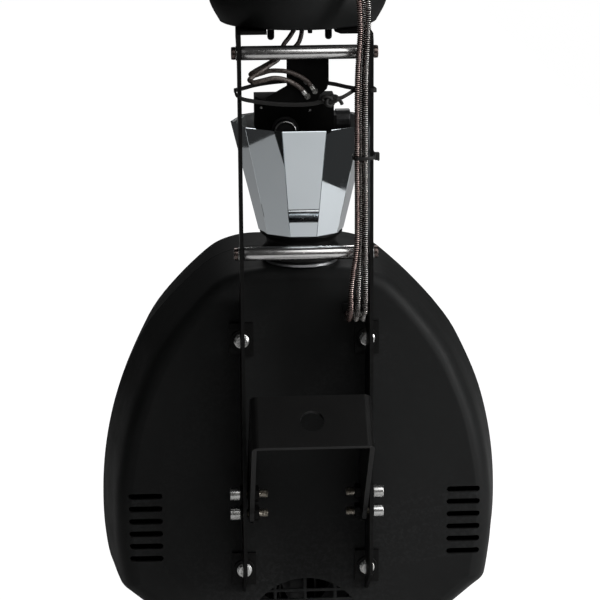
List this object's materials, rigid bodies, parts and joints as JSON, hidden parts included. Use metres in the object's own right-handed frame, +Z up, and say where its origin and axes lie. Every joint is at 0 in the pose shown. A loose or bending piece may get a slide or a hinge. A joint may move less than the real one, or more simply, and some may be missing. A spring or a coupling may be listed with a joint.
{
  "type": "led scanner light",
  "caption": "Floor-standing stage scanner light: black lamp housing, spinning mirrored drum and tilting scan mirror between two rails under a domed cap, with a tilting mounting yoke.",
  "frame": {"origin": "on the surface the fixture stands on, under the drum's vertical axis, which is the middle of the fixture's width and depth", "axes": "+Z up along the drum's axis, +X to the right seen from the side with the rails and the yoke, +Y from that side towards the control panel"},
  "size_m": [0.3648, 0.3264, 0.7],
  "materials": {
    "housing_black": "fine textured black moulding",
    "black_steel": "satin black powder coat",
    "polished_steel": "polished round bar",
    "zinc_steel": "zinc plated fasteners",
    "mirror_glass": "front silvered mirror",
    "motor_black": "semi-gloss black can",
    "plain_aluminium": "plain satin",
    "circuit_board": "green solder mask",
    "black_rubber": "matt black",
    "display_glass": "smoked blue window",
    "button_plastic": "satin black",
    "connector_plastic": "glossy black",
    "fan_plastic": "moulded black",
    "lens_glass": "coated glass",
    "filter_glass": "coloured filters",
    "wheel_steel": "dark etched sheet",
    "conduit_metal": "corrugated bright metal conduit",
    "braided_sleeve": "brown and silver braid"
  },
  "bodies": {
    "fixture": {"rear_shell": "housing_black", "front_shell": "housing_black", "cap_base": "housing_black", "cap_dome": "housing_black", "foot_strip_left": "black_rubber", "foot_strip_right": "black_rubber", "control_panel": "black_steel", "display_window": "display_glass", "power_inlet": "connector_plastic", "signal_sockets": "connector_plastic", "rail_left": "black_steel", "rail_right": "black_steel", "cross_bar_top": "polished_steel", "cross_bar_lower": "polished_steel", "rail_bolt_upper_left": "zinc_steel", "rail_bolt_upper_right": "zinc_steel", "rail_bolt_lower_left": "zinc_steel", "rail_bolt_lower_right": "zinc_steel", "cap_driver_board": "circuit_board", "mirror_arm": "black_steel", "pan_motor": "motor_black", "drum_base": "plain_aluminium", "drum_motor": "motor_black", "drive_belt": "black_rubber", "inner_plate": "plain_aluminium", "lens_barrel": "black_steel", "objective_lens": "lens_glass", "led_heatsink": "motor_black", "led_board": "circuit_board", "wheel_motors": "motor_black", "fan_frame": "fan_plastic", "power_supply": "plain_aluminium", "main_board": "circuit_board", "conduit_1": "conduit_metal", "conduit_2": "conduit_metal", "conduit_3": "conduit_metal", "mirror_cable_1": "braided_sleeve", "mirror_cable_2": "braided_sleeve", "retaining_strap": "black_rubber", "cable_tie": "button_plastic"},
    "yoke": {"yoke_bracket": "black_steel", "yoke_bolt_upper_left": "zinc_steel", "yoke_bolt_upper_right": "zinc_steel", "yoke_bolt_lower_left": "zinc_steel", "yoke_bolt_lower_right": "zinc_steel"},
    "drum": {"drum_cup": "mirror_glass", "drum_carrier": "black_steel"},
    "motor_pulley": {"drum_motor_pulley": "plain_aluminium"},
    "fork": {"mirror_fork": "black_steel", "tilt_motor": "motor_black"},
    "mirror": {"mirror_holder": "plain_aluminium", "scan_mirror": "mirror_glass"},
    "gobo": {"gobo_wheel": "wheel_steel"},
    "colour": {"colour_wheel": "filter_glass"},
    "fan": {"fan_rotor": "fan_plastic"},
    "button_1": {"menu_button_1": "button_plastic"},
    "button_2": {"menu_button_2": "button_plastic"},
    "button_3": {"menu_button_3": "button_plastic"},
    "button_4": {"menu_button_4": "button_plastic"},
    "switch": {"power_switch": "button_plastic"}
  },
  "joints": [
    {"name": "yoke_tilt", "type": "hinge", "parent": "fixture", "child": "yoke", "pos_m": [0, -0.063, 0.22], "axis": [1, 0, 0], "range_deg": [-35, 45]},
    {"name": "drum_spin", "type": "hinge", "parent": "fixture", "child": "drum", "pos_m": [0, 0, 0.4303], "axis": [0, 0, 1], "continuous": true},
    {"name": "motor_pulley_spin", "type": "hinge", "parent": "fixture", "child": "motor_pulley", "pos_m": [0, 0.05, 0.423], "axis": [0, 0, 1], "continuous": true},
    {"name": "mirror_pan", "type": "hinge", "parent": "fixture", "child": "fork", "pos_m": [-0.015, 0, 0.538], "axis": [0, 1, 0], "range_deg": [-15, 15]},
    {"name": "mirror_tilt", "type": "hinge", "parent": "fork", "child": "mirror", "pos_m": [0, 0.01, 0.538], "axis": [1, 0, 0], "range_deg": [-15, 15]},
    {"name": "gobo_spin", "type": "hinge", "parent": "fixture", "child": "gobo", "pos_m": [0, 0.042, 0.232], "axis": [0, 0, 1], "continuous": true},
    {"name": "colour_spin", "type": "hinge", "parent": "fixture", "child": "colour", "pos_m": [0, 0.042, 0.222], "axis": [0, 0, 1], "continuous": true},
    {"name": "fan_spin", "type": "hinge", "parent": "fixture", "child": "fan", "pos_m": [0, -0.02, 0.075], "axis": [0, 1, 0], "continuous": true},
    {"name": "button_1_press", "type": "slide", "parent": "fixture", "child": "button_1", "axis": [0, -1, 0], "range_m": [0, 0.0012], "stiffness_N_per_m": 600},
    {"name": "button_2_press", "type": "slide", "parent": "fixture", "child": "button_2", "axis": [0, -1, 0], "range_m": [0, 0.0012], "stiffness_N_per_m": 600},
    {"name": "button_3_press", "type": "slide", "parent": "fixture", "child": "button_3", "axis": [0, -1, 0], "range_m": [0, 0.0012], "stiffness_N_per_m": 600},
    {"name": "button_4_press", "type": "slide", "parent": "fixture", "child": "button_4", "axis": [0, -1, 0], "range_m": [0, 0.0012], "stiffness_N_per_m": 600},
    {"name": "switch_rock", "type": "hinge", "parent": "fixture", "child": "switch", "pos_m": [-0.02, 0.1579, 0.136], "axis": [1, 0, 0], "range_deg": [0, 14]}
  ],
  "couplings": [
    {"joint": "motor_pulley_spin", "follows": "drum_spin", "ratio": 3.6667}
  ]
}
